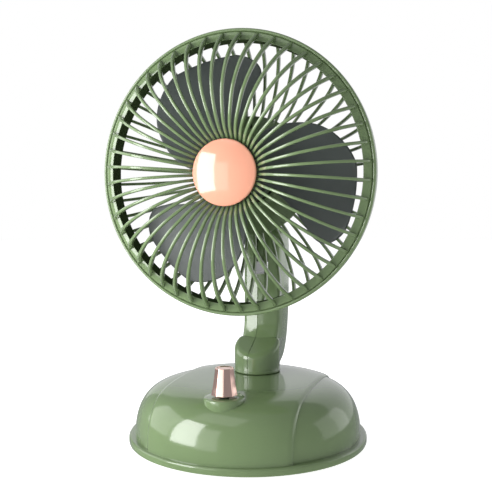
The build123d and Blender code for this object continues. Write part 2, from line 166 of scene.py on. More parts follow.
def everything(form):
    """Every vertex, edge and face of a form."""
    return form.verts[:] + form.edges[:] + form.faces[:]


def soften(form, offset, segments, chosen, clamp=True):
    """Bevel the edges that the test picks."""
    edges = [e for e in form.edges if chosen(e)]
    bmesh.ops.bevel(form, geom=edges, offset=offset, offset_type="OFFSET", segments=segments,
                    profile=0.5, affect="EDGES", material=-1, clamp_overlap=clamp)
    return form


def is_crease(edge, limit=radians(50)):
    """Whether the faces beside an edge turn by more than the limit."""
    return len(edge.link_faces) == 2 and edge.calc_face_angle(0) > limit


def run(edge, axis):
    """How far an edge reaches along one axis."""
    return abs(edge.verts[0].co[axis] - edge.verts[1].co[axis])


def put(target, form, place=Matrix.Identity(4)):
    """Move a form into place and add it to a piece."""
    form.transform(place)
    mesh = bpy.data.meshes.new("form")
    form.to_mesh(mesh)
    form.free()
    target.from_mesh(mesh)
    bpy.data.meshes.remove(mesh)
    return target


def combine(body, tool, operation):
    """Cut a tool out of a body, or join it on, and give back the result."""
    objects = []
    for form in (body, tool):
        mesh = bpy.data.meshes.new("form")
        form.to_mesh(mesh)
        form.free()
        objects.append(bpy.data.objects.new("form", mesh))
        bpy.context.scene.collection.objects.link(objects[-1])
    cutter = objects[0].modifiers.new("cut", "BOOLEAN")
    cutter.object = objects[1]
    cutter.operation = operation
    cutter.solver = "EXACT"
    depsgraph = bpy.context.evaluated_depsgraph_get()
    mesh = bpy.data.meshes.new_from_object(objects[0].evaluated_get(depsgraph))
    result = bmesh.new()
    result.from_mesh(mesh)
    bpy.data.meshes.remove(mesh)
    for o in objects:
        data = o.data
        bpy.data.objects.remove(o)
        bpy.data.meshes.remove(data)
    bmesh.ops.remove_doubles(result, verts=result.verts, dist=MERGE)
    bmesh.ops.dissolve_degenerate(result, edges=result.edges, dist=MERGE)
    return result


def mark_painted_shade(form, chosen):
    """Write a point attribute that the finishes read as painted shade, darkening the chosen hollows."""
    # The points chosen here get painted shade, not dirt.
    layer = form.verts.layers.float.new("recess")
    for v in form.verts:
        v[layer] = 1.0 if chosen(v.co) else 0.0
    return form


def finish_piece(form, name, material, body, replaces, sharp=32):
    """Scale a form to metres, shade it, give it its material and hang it on its body."""
    form.transform(Matrix.Scale(MM, 4))
    if form.calc_volume(signed=True) < 0:
        bmesh.ops.reverse_faces(form, faces=form.faces)
    for face in form.faces:
        face.smooth = True
    for edge in form.edges:
        edge.smooth = not is_crease(edge, radians(sharp))
    mesh = bpy.data.meshes.new(name)
    form.to_mesh(mesh)
    form.free()
    mesh.materials.append(bpy.data.materials[material])
    piece = bpy.data.objects.new(name, mesh)
    bpy.context.scene.collection.objects.link(piece)
    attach(piece, body)
    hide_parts(*replaces)
    return piece


# ---- materials ------------------------------------------------------------------------------
class Recipe:
    """Nodes of one material, added from left to right."""

    def __init__(self, name):
        self.material = bpy.data.materials.new(name)
        self.material.use_nodes = True
        self.tree = self.material.node_tree
        self.shader = self.tree.nodes["Principled BSDF"]
        self.place = self.add("ShaderNodeTexCoord").outputs["Object"]

    def add(self, kind, links=(), **values):
        """One node, with its settings and its linked inputs."""
        node = self.tree.nodes.new(kind)
        for key, value in values.items():
            setattr(node, key, value)
        for socket, source in links:
            self.feed(node.inputs[socket], source)
        return node

    def feed(self, socket, source):
        """Give an input its link or its value."""
        if hasattr(source, "is_linked"):
            self.tree.links.new(source, socket)
        else:
            socket.default_value = source

    def noise(self, size, detail=3.0, stretch=(1, 1, 1), rough=0.5):
        """Cloudy pattern whose features are about that many metres across."""
        spot = self.place
        if stretch != (1, 1, 1):
            spot = self.add("ShaderNodeMapping", [("Vector", spot), ("Scale", stretch)]).outputs[0]
        return self.add("ShaderNodeTexNoise", [
            ("Vector", spot), ("Scale", 1 / size), ("Detail", detail), ("Roughness", rough),
        ]).outputs["Fac"]

    def ramp(self, source, stops):
        """Colour ramp of (place, colour) stops."""
        node = self.add("ShaderNodeValToRGB", [("Fac", source)])
        band = node.color_ramp.elements
        while len(band) < len(stops):
            band.new(0.5)
        for mark, (at, colour) in zip(band, stops):
            mark.position = at
            mark.color = (*colour[:3], 1)
        return node.outputs["Color"]

    def spread(self, source, low, high):
        """Remap a pattern's middle range."""
        return self.add("ShaderNodeMapRange", [
            ("Value", source), ("From Min", 0.3), ("From Max", 0.7), ("To Min", low), ("To Max", high),
        ]).outputs[0]

    def maths(self, operation, one, two):
        """Sum, product or the like of two values."""
        return self.add("ShaderNodeMath", [(0, one), (1, two)], operation=operation).outputs[0]

    def mix(self, share, one, two):
        """Blend of two colours."""
        node = self.add("ShaderNodeMix", data_type="RGBA")
        self.feed(node.inputs[0], share)
        self.feed(node.inputs[6], one)
        self.feed(node.inputs[7], two)
        return node.outputs[2]

    def relief(self, source, depth, strength):
        """Bump of that depth in metres."""
        return self.add("ShaderNodeBump", [
            ("Height", source), ("Distance", depth), ("Strength", strength),
        ]).outputs["Normal"]

    def worn_edges(self, start, end):
        """Share that grows along outer edges."""
        corner = self.add("ShaderNodeNewGeometry").outputs["Pointiness"]
        return self.add("ShaderNodeMapRange", [
            ("Value", corner), ("From Min", start), ("From Max", end), ("To Min", 0.0), ("To Max", 1.0),
        ]).outputs[0]

    def set(self, **values):
        """Inputs of the shader, named with underscores."""
        for key, value in values.items():
            self.feed(self.shader.inputs[key.replace("_", " ")], value)


def shade(colour, factor):
    """A lighter or darker version of a colour."""
    return tuple(min(1.0, c * factor) for c in colour[:3]) + (1,)


def moulded(name, colour, rough, grain, grain_depth, tone=0.06, coat=0.0, worn=0.25):
    """Moulded plastic: faint flow marks, fine grain, paler rubbed edges and painted shade, with less gloss, on
    marked hollows.
    """
    r = Recipe(name)
    flow = r.noise(0.035, 4)
    body = r.ramp(flow, [(0.3, shade(colour, 1 - tone)), (0.52, colour), (0.75, shade(colour, 1 + tone))])
    fleck = r.noise(0.0011, 2)
    body = r.mix(r.spread(fleck, 0.0, 0.10), body, shade(colour, 0.86))
    body = r.mix(r.maths("MULTIPLY", r.worn_edges(0.55, 0.7), worn), body, shade(colour, 1.35))
    # Painted shade: marked points darken to a third of the colour and lose their coat and specular.
    hollow = r.add("ShaderNodeAttribute", attribute_name="recess").outputs["Fac"]
    body = r.mix(hollow, body, shade(colour, 0.33))
    surface = r.relief(r.noise(grain, 2), grain_depth, 0.5)
    smear = r.noise(0.008, 3)
    r.set(Base_Color=body, Roughness=r.spread(smear, rough * 0.88, rough * 1.15), Normal=surface)
    bare = r.maths("SUBTRACT", 1.0, hollow)
    r.set(Coat_Weight=r.maths("MULTIPLY", bare, coat), Specular_IOR_Level=r.maths("MULTIPLY", bare, 0.5),
          Coat_Roughness=0.06, IOR=1.5)
    return r.material


def metal(name, colour, rough, brushed, depth, tone=0.12):
    """Bare or plated metal with fine drawn lines along one direction."""
    r = Recipe(name)
    lines = r.noise(0.0016, 4, stretch=brushed)
    stain = r.noise(0.009, 3)
    body = r.ramp(lines, [(0.25, shade(colour, 1 - tone)), (0.5, colour), (0.8, shade(colour, 1 + tone))])
    body = r.mix(r.spread(stain, 0.0, 0.25), body, shade(colour, 0.8))
    r.set(Base_Color=body, Metallic=1.0, Roughness=r.spread(stain, rough * 0.8, rough * 1.25),
          Normal=r.relief(lines, depth, 0.4))
    return r.material


def cast(name, colour, rough, grain, depth, metallic=0.6):
    """Rough cast or sintered metal with pits."""
    r = Recipe(name)
    pits = r.noise(grain, 6, rough=0.7)
    rust = r.noise(0.012, 5)
    body = r.ramp(pits, [(0.3, shade(colour, 0.6)), (0.5, colour), (0.72, shade(colour, 1.3))])
    body = r.mix(r.spread(rust, 0.0, 0.35), body, (0.12, 0.075, 0.05, 1))
    r.set(Base_Color=body, Metallic=metallic, Roughness=r.spread(rust, rough * 0.85, min(1, rough * 1.2)),
          Normal=r.relief(pits, depth, 0.7))
    return r.material


CELL_HALF = 0.034             # half the length of a battery cell, in metres


def cell_wrap(name, colour):
    """Shrink wrap of a battery cell: plain film with a pale band and fine creases."""
    r = Recipe(name)
    x = r.add("ShaderNodeSeparateXYZ", [("Vector", r.place)]).outputs["X"]
    along = r.add("ShaderNodeMapRange", [
        ("Value", x), ("From Min", -CELL_HALF), ("From Max", CELL_HALF),
    ]).outputs[0]
    band = r.ramp(along, [(0.0, (0.75, 0.75, 0.73)), (0.06, colour), (0.8, shade(colour, 0.9)),
                          (0.83, (0.8, 0.8, 0.78))])
    crease = r.noise(0.003, 4, stretch=(1, 4, 4))
    r.set(Base_Color=r.mix(r.spread(crease, 0.0, 0.2), band, shade(colour, 0.6)),
          Roughness=r.spread(crease, 0.25, 0.4), Normal=r.relief(crease, 0.00012, 0.5), Coat_Weight=0.4)
    return r.material


def circuit(name, colour):
    """Lacquered circuit board with raised tracks and pale pads."""
    r = Recipe(name)
    cells = r.add("ShaderNodeTexVoronoi", [("Vector", r.place), ("Scale", 420)],
                  distance="MANHATTAN", feature="F1").outputs["Distance"]
    tracks = r.ramp(cells, [(0.0, (0.6, 0.58, 0.5)), (0.18, (0.55, 0.5, 0.36)), (0.24, shade(colour, 1.5)),
                            (0.42, colour), (0.6, shade(colour, 0.7))])
    r.set(Base_Color=tracks, Roughness=r.spread(r.noise(0.004), 0.25, 0.45),
          Normal=r.relief(cells, 0.00008, 0.6))
    return r.material


def rubber(name, colour):
    """Soft foot rubber, dusty and slightly pebbled."""
    r = Recipe(name)
    pebble = r.noise(0.0007, 4)
    dust = r.noise(0.006, 5)
    body = r.mix(r.spread(dust, 0.0, 0.3), colour, (0.16, 0.155, 0.145, 1))
    r.set(Base_Color=body, Roughness=r.spread(dust, 0.7, 0.95), Normal=r.relief(pebble, 0.00008, 0.6))
    return r.material


# ---- settings -------------------------------------------------------------------------------
def colour_prop(name, description, value):
    return bpy.props.FloatVectorProperty(name=name, description=description, subtype="COLOR", size=4,
                                         min=0, max=1, default=(*value, 1))


def length_prop(name, description, value):
    return bpy.props.FloatProperty(name=name, description=description, default=value, min=0, unit="LENGTH",
                                   subtype="DISTANCE", precision=5)


def power_prop(name, description, value):
    return bpy.props.FloatProperty(name=name, description=description, default=value, min=0,
                                   unit="POWER")


class FanColours(bpy.types.PropertyGroup):
    """Colours of the finishes"""
    shell: colour_prop("Shell", "Glossy moulded shells, guard and neck", (0.148, 0.214, 0.098))
    shell_back: colour_prop("Underside", "Matt moulding of the base plate", (0.085, 0.122, 0.062))
    cap: colour_prop("Cap", "Lacquered cap in front of the hub", (0.80, 0.36, 0.24))
    knob: colour_prop("Knob", "Plated speed knob", (0.90, 0.62, 0.53))
    blades: colour_prop("Blades", "Matt charcoal blades", (0.064, 0.076, 0.071))


class FanSizes(bpy.types.PropertyGroup):
    """Sizes of the details"""
    rib_width: length_prop("Rib width", "Width of a guard rib", 0.0018)
    rib_height: length_prop("Rib depth", "Depth of a guard rib, front to back", 0.003)
    rib_round: length_prop("Rib rounding", "Rounding of a guard rib's edges", 0.0006)
    rib_count: bpy.props.IntProperty(name="Ribs", description="Ribs in each half of the guard",
                                     default=48, min=12, max=90)
    band_step: length_prop("Band rounding", "Width of the rounded edge of the base's centre band", 0.0028)
    blade_thickness: length_prop("Blade thickness", "Thickness of a blade", 0.0017)
    blade_camber: length_prop("Blade camber", "Hollow across a blade", 0.0012)
    knob_facets: bpy.props.IntProperty(name="Knob facets", description="Flat sides of the knob",
                                       default=10, min=5, max=16)
    seam: length_prop("Seam", "Width of the groove between the neck's shells", 0.0003)


class FanStudio(bpy.types.PropertyGroup):
    """Floor, lights and camera"""
    floor: colour_prop("Floor", "Colour of the studio floor", (0.6, 0.6, 0.6))
    key: power_prop("Key light", "Power of the tall soft box at the left", 2.0)
    card: power_prop("Card light", "Power of the dim card beside the key light", 0.22)
    side: power_prop("Side light", "Power of the soft box at the far left", 1.8)
    back: power_prop("Back light", "Power of the wide panel behind", 4.4)
    right: power_prop("Right light", "Power of the dim soft box at the right", 0.75)
    top: power_prop("Top light", "Power of the soft box above the front", 1.1)
    lens: bpy.props.FloatProperty(name="Lens", description="Focal length in millimetres",
                                  default=55.46, min=10)


# ---- stage ----------------------------------------------------------------------------------
LIGHTS = (                    # name, place, point it faces, width and height, all in metres
    ("key", (-0.288, -0.328, 0.199), (0, -0.05, 0.199), 0.207, 0.366),
    ("card", (-0.147, -0.443, 0.15), (0, -0.05, 0.15), 0.155, 0.3),
    ("side", (-0.8, -0.12, 0.35), (0, -0.05, 0.15), 0.6, 0.6),
    ("back", (0.4, 0.95, 0.5), (0.4, 0, 0.5), 2.8, 1.0),
    ("right", (0.75, 0.35, 0.25), (0, 0, 0.1), 0.7, 0.5),
    ("top", (-0.25, -0.5, 1.0), (0, 0, 0.2), 0.8, 0.5),
)
FLOOR_R = 3.0
FLOOR_GLOW = 0.9              # keeps the floor as white as the surround
ROOM_TINT = (0.93, 0.95, 1.0, 1)
ROOM_GLOW = 0.33
CAMERA_AT = (0.155, -0.485, 0.158)
CAMERA_DIP = 3.1              # degrees below level
CAMERA_SIDE = (0.307, 0.952)  # how far it looks from the right, and from the front


def soft_box(name, at, aim, width, height, power):
    """Rectangular light aimed at a point."""
    data = bpy.data.lights.new(name, "AREA")
    data.shape = "RECTANGLE"
    data.size = width
    data.size_y = height
    data.energy = power
    lamp = bpy.data.objects.new(name, data)
    lamp.location = at
    lamp.visible_camera = False
    lamp.rotation_euler = (Vector(aim) - Vector(at)).to_track_quat("-Z", "Y").to_euler()
    bpy.context.scene.collection.objects.link(lamp)
    return lamp


def studio_world():
    """White surround to the camera, softer grey to the object."""
    world = bpy.data.worlds.new("Studio")
    bpy.context.scene.world = world
    world.use_nodes = True
    tree = world.node_tree
    glow = tree.nodes["Background"]
    glow.inputs["Color"].default_value = ROOM_TINT
    glow.inputs["Strength"].default_value = ROOM_GLOW
    plain = tree.nodes.new("ShaderNodeBackground")
    plain.inputs["Color"].default_value = (1, 1, 1, 1)
    plain.inputs["Strength"].default_value = 1.0
    seen = tree.nodes.new("ShaderNodeLightPath")
    pick = tree.nodes.new("ShaderNodeMixShader")
    tree.links.new(seen.outputs["Is Camera Ray"], pick.inputs[0])
    tree.links.new(glow.outputs[0], pick.inputs[1])
    tree.links.new(plain.outputs[0], pick.inputs[2])
    tree.links.new(pick.outputs[0], tree.nodes["World Output"].inputs["Surface"])


class FAN_OT_stage(bpy.types.Operator):
    """Make the floor, the soft boxes and the camera"""
    bl_idname = "desk_fan.stage"
    bl_label = "Stage"

    def execute(self, context):
        studio = context.scene.fan_studio
        context.scene.view_settings.view_transform = "Standard"
        studio_world()
        r = Recipe("studio_floor")
        haze = r.noise(0.4, 2)
        r.set(Base_Color=r.ramp(haze, [(0.3, shade(studio.floor, 0.985)), (0.7, studio.floor)]),
              Roughness=r.spread(haze, 0.6, 0.7), Emission_Color=(1, 1, 1, 1), Emission_Strength=FLOOR_GLOW)
        form = bmesh.new()
        bmesh.ops.create_circle(form, cap_ends=True, radius=FLOOR_R, segments=96)
        mesh = bpy.data.meshes.new("floor")
        form.to_mesh(mesh)
        form.free()
        mesh.materials.append(r.material)
        floor = bpy.data.objects.new("floor", mesh)
        context.scene.collection.objects.link(floor)
        floor.visible_glossy = False

        for name, at, aim, width, height in LIGHTS:
            soft_box(name + "_light", at, aim, width, height, getattr(studio, name))

        lens = bpy.data.cameras.new("camera")
        lens.lens = studio.lens
        lens.sensor_width = 36
        camera = bpy.data.objects.new("camera", lens)
        camera.location = CAMERA_AT
        camera.rotation_euler = (radians(90 - CAMERA_DIP), 0, atan2(*CAMERA_SIDE))
        context.scene.collection.objects.link(camera)
        context.scene.camera = camera
        return {"FINISHED"}


class FAN_OT_finishes(bpy.types.Operator):
    """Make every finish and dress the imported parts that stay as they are"""
    bl_idname = "desk_fan.finishes"
    bl_label = "Finishes"

    def execute(self, context):
        c = context.scene.fan_colours
        moulded("shell_green", c.shell, 0.15, 0.0009, 0.000008, tone=0.04, coat=0.5, worn=0.12)
        moulded("housing_green", c.shell_back, 0.5, 0.0007, 0.00005)
        moulded("cap_copper", c.cap, 0.11, 0.0008, 0.000005, tone=0.03, coat=0.6, worn=0.3)
        moulded("blade_charcoal", c.blades, 0.42, 0.0006, 0.00004, tone=0.10, worn=0.5)
        moulded("black_plastic", (0.012, 0.012, 0.013, 1), 0.4, 0.0006, 0.00005)
        metal("knob_rose", c.knob, 0.13, (1, 1, 0.08), 0.00001, tone=0.05)
        metal("steel_drawn", (0.56, 0.56, 0.57, 1), 0.28, (1, 1, 0.1), 0.00002)
        metal("brass_turned", (0.62, 0.42, 0.17, 1), 0.25, (0.1, 1, 1), 0.00002)
        cast("ballast_cast", (0.075, 0.075, 0.08, 1), 0.75, 0.0012, 0.0002)
        cast("magnet_grey", (0.022, 0.022, 0.024, 1), 0.55, 0.0005, 0.00005)
        cast("core_plates", (0.09, 0.09, 0.095, 1), 0.5, 0.0006, 0.00006, metallic=0.85)
        cell_wrap("cell_film", (0.03, 0.09, 0.26, 1))
        circuit("board_lacquer", (0.006, 0.06, 0.02, 1))
        rubber("foot_rubber", (0.02, 0.02, 0.021, 1))
        by_slot = {
            "green_shell": "shell_green", "green_matte": "housing_green", "steel": "steel_drawn",
            "foot_rubber": "foot_rubber", "ballast_iron": "ballast_cast", "black_plastic": "black_plastic",
            "cell_wrap": "cell_film", "board_green": "board_lacquer", "rose_metal": "knob_rose",
            "copper_cap": "cap_copper", "blade_grey": "blade_charcoal", "brass": "brass_turned",
            "magnet": "magnet_grey", "core_iron": "core_plates",
        }
        slot_of = {n: m["slot"] for m in frame["record"]["materials"] for n in m.get("nodes", [])}
        for name, node in frame["nodes"].items():
            old = [m.name.split(".")[0] for m in node.data.materials if m]
            slot = slot_of.get(name) or next((s for s in old if s in by_slot), None)
            if slot is None:
                raise RuntimeError(f"no finish for {name}: its materials are {old}")
            if not node.data.materials:
                node.data.materials.append(None)
            for i in range(len(node.data.materials)):
                node.data.materials[i] = bpy.data.materials[by_slot[slot]]
        return {"FINISHED"}


# ---- base -----------------------------------------------------------------------------------
RIM_R = 80.0
RIM_LOW = 0.8
RIM_TOP = 5.5
LOBE_R = 75.8
LOBE_TOP = 40.1
BAND_RISE = 1.3               # of the centre band over the lobes, at the top
BAND_PROUD = 1.8              # and at the foot of the wall
BAND_HALF = 47.0
WALL = 2.2
DOME_CROWD = 0.6              # below 1 the rings crowd together near the wall
DOME_FALL = 6.7               # exponents of the dome's section
DOME_ROOT = 2.2
BOSS_R = 12.7
BOSS_TOP = 41.0
COLLAR_HOLE_R = 13.0
SHAFT_HOLE_R = 4.0
SOCKET_HALF = (4.6, 2.1)
SOCKET_ROUND = 1.4
STRIP_DEPTHS = (0.0, 0.05, 0.18, 0.4, 0.7, 1.1)   # cuts across the shoulder of the centre band


def dome_line(radius, top, steps=52):
    """(radius, height) points of the dome, from its crown down to the flange."""
    line = []
    for i in range(steps + 1):
        share = sin(pi / 2 * i / steps) ** DOME_CROWD
        height = (top - RIM_TOP) * max(0.0, 1 - share ** DOME_FALL) ** (1 / DOME_ROOT)
        line.append((radius * share, RIM_TOP + height))
    return line


def raise_band(form, half, width):
    """Lift the strip between two upright planes off the dome, with rounded shoulders."""
    floor = RIM_TOP - 0.01
    for side in (-1, 1):
        for depth in (*STRIP_DEPTHS, width):
            above = [v for v in form.verts if v.co.z > floor]
            faces = [f for f in form.faces if all(v.co.z > floor for v in f.verts)]
            edges = list(dict.fromkeys(e for f in faces for e in f.edges))
            bmesh.ops.bisect_plane(form, geom=above + edges + faces, dist=1e-5,
                                   plane_co=(side * (half - depth), 0, 0), plane_no=(side, 0, 0))
    form.normal_update()
    moves = []
    for v in form.verts:
        depth = half - abs(v.co.x)
        if depth <= 0 or v.co.z < floor:
            continue
        if v.co.z > RIM_TOP + 0.01 or Vector(v.co.xy).length < LOBE_R + 0.05:
            out = Vector(v.co.xy).normalized()
            n = v.normal if v.co.z > RIM_TOP + 0.3 else Vector((out.x, out.y, 0))
            lift = BAND_RISE + (BAND_PROUD - BAND_RISE) * (1 - max(0.0, n.z))
            share = sqrt(1 - (1 - min(1.0, depth / width)) ** 2)
            across = n.y ** 2 + max(0.0, n.z) ** 2
            moves.append((v, Vector((0, n.y, max(0.0, n.z))) * lift * share / across))
    for v, move in moves:
        v.co += move


class FAN_OT_base(bpy.types.Operator):
    """Model the round base with its centre band, knob seat and rear socket opening"""
    bl_idname = "desk_fan.base"
    bl_label = "Base"

    def execute(self, context):
        sizes = context.scene.fan_sizes
        flange = [(LOBE_R + 0.45, RIM_TOP), (LOBE_R + 2.4, RIM_TOP), (RIM_R - 1.1, RIM_TOP - 0.02),
                  (RIM_R - 0.45, RIM_TOP - 0.3), (RIM_R - 0.08, RIM_TOP - 0.9), (RIM_R, RIM_TOP - 1.6),
                  (RIM_R, RIM_LOW + 0.9), (RIM_R - 0.25, RIM_LOW + 0.25), (RIM_R - 0.9, RIM_LOW)]
        form = turned(dome_line(LOBE_R, LOBE_TOP) + flange, 240, closed=False)
        raise_band(form, BAND_HALF, sizes.band_step / MM)
        inner = [(RIM_R - 0.9, RIM_LOW), (LOBE_R - WALL, RIM_LOW)]
        inner += dome_line(LOBE_R - WALL, LOBE_TOP - WALL, 30)[::-1]
        put(form, turned(inner, 240, closed=False))
        bmesh.ops.remove_doubles(form, verts=form.verts, dist=LEVEL)
        bmesh.ops.recalc_face_normals(form, faces=form.faces)

        seat = [(0, 24), (BOSS_R, 24), (BOSS_R, BOSS_TOP - 1.2), (BOSS_R - 0.15, BOSS_TOP - 0.6),
                (BOSS_R - 0.5, BOSS_TOP - 0.2), (BOSS_R - 1.1, BOSS_TOP), (7.0, BOSS_TOP), (0, BOSS_TOP)]
        at = Matrix.Translation((KNOB_AT.x, KNOB_AT.y, 0))
        boss = turned(seat, 96, closed=False)
        boss.transform(at)
        form = combine(form, boss, "UNION")

        holes = bmesh.new()
        put(holes, rod(COLLAR_HOLE_R, 20, 50, 96), Matrix.Translation((SWIVEL_AT.x, SWIVEL_AT.y, 0)))
        put(holes, rod(SHAFT_HOLE_R, 28, 50), at)
        low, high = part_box("power_inlet")
        middle = (low.z + high.z) / 2 / MM
        wide, tall = SOCKET_HALF
        mouth = slab(rounded([(-wide, -tall), (wide, -tall), (wide, tall), (-wide, tall)],
                             SOCKET_ROUND, 5), 60, 90)
        put(holes, mouth, Matrix.Translation((0, 0, middle)) @ Matrix.Rotation(-pi / 2, 4, "X"))
        form = combine(form, holes, "DIFFERENCE")
        finish_piece(form, "base_dome", "shell_green", "base", ["base_shell"], sharp=38)
        return {"FINISHED"}


# ---- knob -----------------------------------------------------------------------------------
KNOB_LOW = 42.4
KNOB_HIGH = 59.0
KNOB_CORNER = 0.22            # bevel of the upright corners, and of the rims
KNOB_RIM = 0.35
KNOB_DISH = 0.35              # depth of the hollow in its top
KNOB_FLARE = ((0.0, 8.4), (0.12, 8.05), (0.3, 7.45), (0.5, 6.93), (0.75, 6.33), (1.0, 5.9))


def edge_radius(edge):
    """Distance of an edge's nearer end from Z."""
    return min(Vector(v.co.xy).length for v in edge.verts)


class FAN_OT_knob(bpy.types.Operator):
    """Model the flared knob with flat sides"""
    bl_idname = "desk_fan.knob"
    bl_label = "Speed knob"

    def execute(self, context):
        sides = context.scene.fan_sizes.knob_facets
        rise = KNOB_HIGH - KNOB_LOW
        levels = smooth_line([(t * rise, r) for t, r in KNOB_FLARE], 16)
        line = [(0, KNOB_LOW)] + [(p.y, KNOB_LOW + p.x) for p in levels]
        line += [(4.9, KNOB_HIGH), (4.4, KNOB_HIGH - KNOB_DISH), (0, KNOB_HIGH - KNOB_DISH)]
        form = turned(line, sides, closed=False)
        soften(form, KNOB_CORNER, 2, lambda e: edge_radius(e) > 5.5 and run(e, 2) > 0.2, clamp=False)
        soften(form, KNOB_RIM, 3, lambda e: run(e, 2) < LEVEL and is_crease(e) and edge_radius(e) > 5.3,
               clamp=False)
        form.transform(Matrix.Translation((KNOB_AT.x, KNOB_AT.y, 0)))
        finish_piece(form, "speed_knob", "knob_rose", "knob", ["knob_cap"], sharp=14)
        return {"FINISHED"}


# ---- guard ----------------------------------------------------------------------------------
RIB_TURN = 4.1                # place of the first rib, degrees from +X
FRONT_LINE = ((17.0, 11.0), (20.0, 14.0), (27.0, 22.5), (35.0, 27.3), (50.0, 30.6), (65.0, 26.6),
              (76.0, 18.6), (82.0, 11.6), (85.2, 6.6), (87.3, 3.4))
REAR_LINE = ((38.4, -35.3), (46.0, -35.0), (55.0, -32.6), (66.0, -27.2), (75.0, -20.4), (82.0, -12.0),
             (85.6, -6.0))
FRONT_RING = ((82.6, -4.8, 0.2), (82.6, 4.9, 0.5), (87.5, 3.7, 0.2), (87.9, 2.4, 0.15), (88.3, 3.6, 0.5),
              (89.5, 3.8, 0.5), (90.3, 2.6, 0.6), (90.3, 0.25, 0.25), (88.4, 0.2, 0.2), (87.5, 2.0, 0.2),
              (84.2, 3.3, 0.3), (84.2, -4.8, 0.2))
REAR_RING = ((86.0, 1.8, 0.2), (87.2, 1.8, 0.2), (87.6, 0.0, 0.2), (90.3, 0.0, 0.25), (90.0, -4.5, 0.8),
             (88.2, -6.6, 0.8), (82.6, -6.6, 0.5), (82.6, -5.0, 0.2), (86.0, -5.0, 0.2))
ROOT_FROM, ROOT_TO = 60.0, 84.0   # the ribs deepen towards the ring
ROOT_DEEP = 2.6
RING_INNER = 82.75            # points of the ring nearer to its axis are on its inner wall
RING_WELLS = (30, 150, 270)   # degrees from +X of the rear ring's three screw holes
RING_WELL_R = 1.5
HUB_PLATE = ((7.6, 9.6), (19.0, 9.6, 0.6), (19.0, 12.4, 0.6), (7.0, 12.4, 0.8), (7.0, 16.2, 0.5),
             (5.6, 16.2, 0.5), (5.6, 9.6))
MOTOR_PLATE = ((18.4, -37.0, 0.4), (40.0, -37.0, 0.6), (40.0, -34.6, 0.8), (22.0, -34.6, 0.6),
               (21.0, -33.4, 0.5), (18.4, -33.4, 0.4))


def ring_wall(at):
    """Whether a point is on the inner wall of the ring."""
    return Vector(at.xy).length < RING_INNER


def rib(line, width, height, soft, stations, inward):
    """One rib with rounded edges along a smooth (radius, forward) line, lying along X."""
    form = bmesh.new()
    bmesh.ops.create_cube(form, size=1)
    bmesh.ops.scale(form, vec=(1, width, height), verts=form.verts)
    soften(form, soft, 2, lambda e: run(e, 0) > 0.5)
    bmesh.ops.subdivide_edges(form, edges=[e for e in form.edges if run(e, 0) > 0.5], cuts=stations - 2)
    path = smooth_line(line, stations)
    for v in form.verts:
        at = path[round((v.co.x + 0.5) * (stations - 1))]
        near = min(1.0, max(0.0, (at.x - ROOT_FROM) / (ROOT_TO - ROOT_FROM)))
        deeper = inward * ROOT_DEEP * near if v.co.z * inward > 0 else 0.0
        v.co = Vector((at.x, v.co.y, at.y + v.co.z + deeper))
    return form


def ribs(sizes, line, stations, inward):
    """The whole fan of ribs round Z; inward is the side on which they deepen."""
    form = rib(line, sizes.rib_width / MM, sizes.rib_height / MM, sizes.rib_round / MM, stations, inward)
    form.transform(Matrix.Rotation(radians(RIB_TURN), 4, "Z"))
    count = sizes.rib_count
    bmesh.ops.spin(form, geom=everything(form), cent=(0, 0, 0), axis=(0, 0, 1),
                   angle=2 * pi * (count - 1) / count, steps=count - 1, use_duplicate=True)
    bmesh.ops.recalc_face_normals(form, faces=form.faces)
    return form


class FAN_OT_front_guard(bpy.types.Operator):
    """Model the domed front guard: ring, ribs and hub plate"""
    bl_idname = "desk_fan.front_guard"
    bl_label = "Front guard"

    def execute(self, context):
        # Points on the ring's inner wall are marked for painted shade.
        form = mark_painted_shade(turned(rounded(FRONT_RING, 0.3), 240), ring_wall)
        put(form, ribs(context.scene.fan_sizes, FRONT_LINE, 30, -1))
        put(form, turned(rounded(HUB_PLATE, 0.3), 96))
        form.transform(HEAD)
        finish_piece(form, "guard_front", "shell_green", "head", ["front_grille"], sharp=40)
        return {"FINISHED"}


class FAN_OT_rear_guard(bpy.types.Operator):
    """Model the rear guard: ring with a seam lip, ribs and the motor plate"""
    bl_idname = "desk_fan.rear_guard"
    bl_label = "Rear guard"

    def execute(self, context):
        ring = turned(rounded(REAR_RING, 0.3), 240)
        wells = bmesh.new()
        outward = Matrix.Translation((0, 0, -2.6)) @ Matrix.Rotation(pi / 2, 4, "Y")
        for angle in RING_WELLS:
            put(wells, rod(RING_WELL_R, 88.2, 92, 32), Matrix.Rotation(radians(angle), 4, "Z") @ outward)
        # Points on the ring's inner wall are marked for painted shade.
        form = mark_painted_shade(combine(ring, wells, "DIFFERENCE"), ring_wall)
        put(form, ribs(context.scene.fan_sizes, REAR_LINE, 22, 1))
        put(form, turned(rounded(MOTOR_PLATE, 0.3), 160))
        form.transform(HEAD)
        finish_piece(form, "guard_rear", "shell_green", "head", ["rear_grille"], sharp=40)
        return {"FINISHED"}


CAP_R = 20.6
CAP_EDGE = 19.7
CAP_RISE = 4.2                # of the dome over its edge


